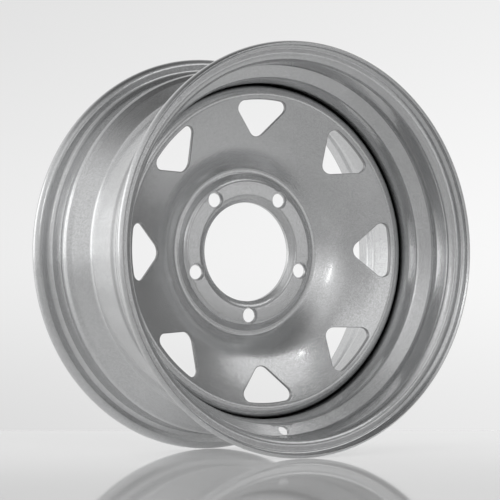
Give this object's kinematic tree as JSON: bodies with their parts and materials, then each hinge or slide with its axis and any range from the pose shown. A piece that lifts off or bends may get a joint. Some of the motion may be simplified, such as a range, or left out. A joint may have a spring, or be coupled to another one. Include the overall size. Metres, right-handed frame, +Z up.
{
  "type": "steel wheel rim",
  "caption": "Steel road wheel: a rolled rim with curled flanges and a drop well, and a pressed, vented disc welded into it, with a hub bore, a bolt ring and a valve hole.",
  "frame": {"origin": "on the axle line, halfway between the two flanges, at the middle of the wheel", "axes": "the axle line is along Y with the outboard (street) face towards -Y, Z is up, and the valve hole is straight below the axle"},
  "size_m": [0.4399, 0.206, 0.44],
  "materials": {
    "silver_paint": "satin silver metallic paint over the whole welded wheel"
  },
  "bodies": {
    "root": {"rim": "silver_paint", "disc": "silver_paint", "disc_weld": "silver_paint"}
  },
  "joints": []
}
